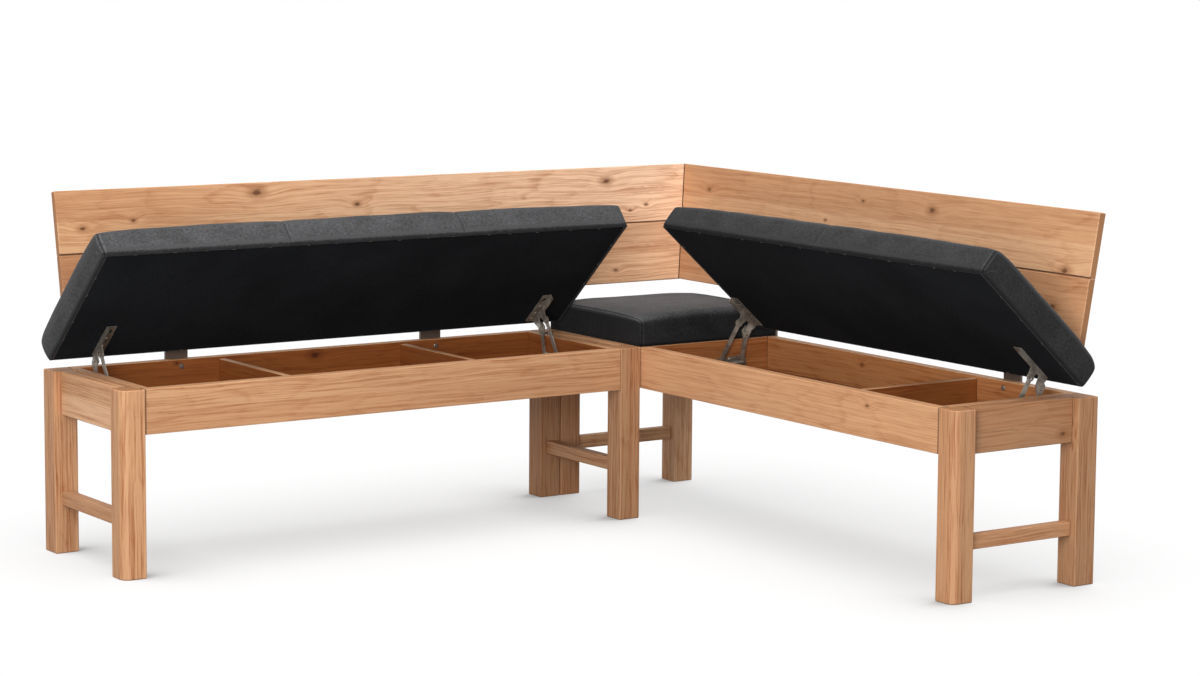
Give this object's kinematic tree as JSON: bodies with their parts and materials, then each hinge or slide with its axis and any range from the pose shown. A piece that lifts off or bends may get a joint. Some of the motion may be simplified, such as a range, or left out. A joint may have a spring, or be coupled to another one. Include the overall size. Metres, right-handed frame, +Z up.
{
  "type": "corner storage bench",
  "caption": "L-shaped oak corner bench with leaning plank back, fixed corner seat and upholstered lids that lift on arm hinges over storage boxes.",
  "frame": {"origin": "middle of the bounding box of the bench at rest with both lids raised, on the floor", "axes": "+Z up; +X along the left wing towards the corner, +Y along the right wing towards the corner; the backs face -Y and -X"},
  "size_m": [1.7956, 1.5926, 0.8023],
  "materials": {
    "oak": "oiled wild oak",
    "upholstery": "dark grey woven upholstery",
    "lining": "board covered with black dust cloth",
    "zinc_steel": "zinc-plated pressed steel",
    "brown_steel": "brown-grey painted flat bar"
  },
  "bodies": {
    "frame": {"left_leg_outer_front": "oak", "left_leg_outer_rear": "oak", "left_leg_corner_front": "oak", "left_leg_corner_rear": "oak", "left_front_rail": "oak", "left_rear_rail": "oak", "left_outer_apron": "oak", "left_outer_stretcher": "oak", "left_corner_apron": "oak", "left_corner_stretcher": "oak", "left_outer_box_end": "oak", "left_corner_box_end": "oak", "left_divider_outer": "oak", "left_divider_inner": "oak", "left_bottom_panel": "oak", "left_back_plank_lower": "oak", "left_back_plank_upper": "oak", "left_back_support_outer": "brown_steel", "left_back_support_corner": "brown_steel", "left_hinge_base_outer": "zinc_steel", "left_hinge_base_corner": "zinc_steel", "right_leg_corner_front": "oak", "right_leg_corner_rear": "oak", "right_leg_outer_front": "oak", "right_leg_outer_rear": "oak", "right_front_rail": "oak", "right_rear_rail": "oak", "right_corner_apron": "oak", "right_corner_stretcher": "oak", "right_outer_apron": "oak", "right_outer_stretcher": "oak", "right_corner_box_end": "oak", "right_outer_box_end": "oak", "right_divider": "oak", "right_bottom_panel": "oak", "right_back_plank_lower": "oak", "right_back_plank_upper": "oak", "right_back_support_corner": "brown_steel", "right_back_support_outer": "brown_steel", "right_hinge_base_corner": "zinc_steel", "right_hinge_base_outer": "zinc_steel", "corner_cushion": "upholstery", "corner_seat_board": "lining", "wing_connector": "zinc_steel"},
    "left_rear_arms": {"left_hinge_rear_arm_outer": "zinc_steel", "left_hinge_rear_arm_corner": "zinc_steel"},
    "left_front_arms": {"left_hinge_front_arm_outer": "zinc_steel", "left_hinge_front_arm_corner": "zinc_steel"},
    "left_lid": {"left_lid_cushion": "upholstery", "left_lid_board": "lining", "left_hinge_bracket_outer": "zinc_steel", "left_hinge_bracket_corner": "zinc_steel"},
    "right_rear_arms": {"right_hinge_rear_arm_corner": "zinc_steel", "right_hinge_rear_arm_outer": "zinc_steel"},
    "right_front_arms": {"right_hinge_front_arm_corner": "zinc_steel", "right_hinge_front_arm_outer": "zinc_steel"},
    "right_lid": {"right_lid_cushion": "upholstery", "right_lid_board": "lining", "right_hinge_bracket_corner": "zinc_steel", "right_hinge_bracket_outer": "zinc_steel"}
  },
  "joints": [
    {"name": "left_lid_lift", "type": "hinge", "parent": "frame", "child": "left_rear_arms", "pos_m": [-0.21782, 0.64648, 0.3618], "axis": [-1, 0, 0], "range_deg": [0, 60.57]},
    {"name": "left_lid_tilt", "type": "hinge", "parent": "left_rear_arms", "child": "left_lid", "pos_m": [-0.21782, 0.66005, 0.43347], "axis": [-1, 0, 0], "range_deg": [-102.63, 0]},
    {"name": "left_front_arm_turn", "type": "hinge", "parent": "frame", "child": "left_front_arms", "pos_m": [-0.21782, 0.57638, 0.3548], "axis": [-1, 0, 0], "range_deg": [0, 45.88]},
    {"name": "right_lid_lift", "type": "hinge", "parent": "frame", "child": "right_rear_arms", "pos_m": [0.74798, -0.17832, 0.3618], "axis": [0, 1, 0], "range_deg": [0, 60.57]},
    {"name": "right_lid_tilt", "type": "hinge", "parent": "right_rear_arms", "child": "right_lid", "pos_m": [0.76155, -0.17832, 0.43347], "axis": [0, 1, 0], "range_deg": [-102.63, 0]},
    {"name": "right_front_arm_turn", "type": "hinge", "parent": "frame", "child": "right_front_arms", "pos_m": [0.67788, -0.17832, 0.3548], "axis": [0, 1, 0], "range_deg": [0, 45.88]}
  ],
  "couplings": [
    {"joint": "left_lid_tilt", "follows": "left_lid_lift", "ratio": -1.6934},
    {"joint": "left_front_arm_turn", "follows": "left_lid_lift", "ratio": 0.75658},
    {"joint": "right_lid_tilt", "follows": "right_lid_lift", "ratio": -1.6934},
    {"joint": "right_front_arm_turn", "follows": "right_lid_lift", "ratio": 0.75658}
  ]
}
